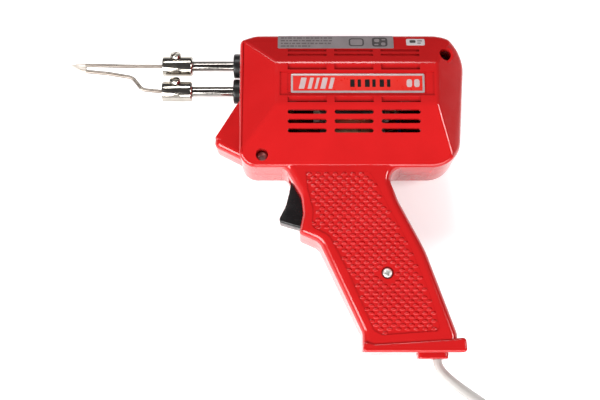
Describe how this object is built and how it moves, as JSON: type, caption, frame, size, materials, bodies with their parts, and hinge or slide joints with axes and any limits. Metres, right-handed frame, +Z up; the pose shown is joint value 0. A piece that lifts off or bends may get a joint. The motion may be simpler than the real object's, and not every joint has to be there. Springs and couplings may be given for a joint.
{
  "type": "soldering gun",
  "caption": "Pistol-grip transformer soldering gun with a looped wire tip in two clamp sockets, a sprung trigger, a work lamp nose and a coiled flat mains lead.",
  "frame": {"origin": "centre of the gun's bounding box, on the surface that its right side lies on", "axes": "+X from the tip to the back of the housing, +Y from the grip's base to the top of the housing, +Z up from the surface, out of the gun's left side"},
  "size_m": [0.2999, 0.3352, 0.06],
  "materials": {
    "red_plastic": "gloss",
    "black_plastic": "satin",
    "trigger_black": "satin",
    "screw_steel": "satin",
    "nameplate_silver": "satin",
    "rating_silver": "matt",
    "label_white": "satin",
    "lens": "polished",
    "bulb": "polished",
    "lamination_steel": "matt",
    "zinc_steel": "satin",
    "bobbin": "matt",
    "copper": "satin",
    "tape": "gloss",
    "nickel": "polished",
    "tip_copper": "satin",
    "switch_dark": "matt",
    "brass": "satin",
    "wire_brown": "satin",
    "wire_blue": "satin",
    "lead_grey": "satin"
  },
  "bodies": {
    "gun": {"housing_left": "red_plastic", "housing_right": "red_plastic", "housing_screws": "screw_steel", "nameplate": "nameplate_silver", "rating_label": "rating_silver", "date_label": "label_white", "lamp_lens": "lens", "lamp_bulb": "bulb", "lamp_holder": "black_plastic", "core_laminations": "lamination_steel", "core_frame": "zinc_steel", "coil_bobbin": "bobbin", "primary_winding": "copper", "winding_tape": "tape", "secondary_loop": "copper", "output_bars": "nickel", "bushing_upper": "black_plastic", "bushing_lower": "black_plastic", "tip_socket_upper": "nickel", "tip_socket_lower": "nickel", "soldering_tip": "tip_copper", "trigger_pin": "screw_steel", "trigger_spring": "screw_steel", "switch_housing": "switch_dark", "switch_terminals": "brass", "live_wire": "wire_brown", "neutral_wire": "wire_blue", "switched_wire": "wire_brown", "lamp_wires": "wire_brown", "wire_joints": "bobbin", "cord_clamp": "black_plastic", "cord_clamp_screws": "screw_steel", "cord_gland": "red_plastic", "power_cord": "lead_grey", "cord_coil": "lead_grey", "cord_tail": "lead_grey", "coil_tie": "black_plastic", "plug_body": "lead_grey", "plug_pins": "brass"},
    "trigger_lever": {"trigger": "trigger_black"},
    "plunger": {"switch_plunger": "bobbin"},
    "upper_clamp": {"tip_screw_upper": "screw_steel"},
    "lower_clamp": {"tip_screw_lower": "screw_steel"}
  },
  "joints": [
    {"name": "trigger_pull", "type": "hinge", "parent": "gun", "child": "trigger_lever", "pos_m": [0.0238, 0.00805, 0.03], "axis": [0, 0, 1], "range_deg": [0, 10], "stiffness_Nm_per_rad": 0.35, "springref_deg": -9.74},
    {"name": "plunger_slide", "type": "slide", "parent": "gun", "child": "plunger", "axis": [1, 0, 0], "range_m": [0, 0.0027], "deforming": ["trigger_spring"]},
    {"name": "upper_clamp_turn", "type": "hinge", "parent": "gun", "child": "upper_clamp", "pos_m": [-0.0545, 0.08305, 0.03], "axis": [0, 0.7071, 0.7071], "range_deg": [0, 720]},
    {"name": "lower_clamp_turn", "type": "hinge", "parent": "gun", "child": "lower_clamp", "pos_m": [-0.0545, 0.06685, 0.03], "axis": [0, 0.7071, 0.7071], "range_deg": [0, 720]}
  ],
  "couplings": [
    {"joint": "plunger_slide", "follows": "trigger_pull", "m_per_rad": 0.015}
  ]
}
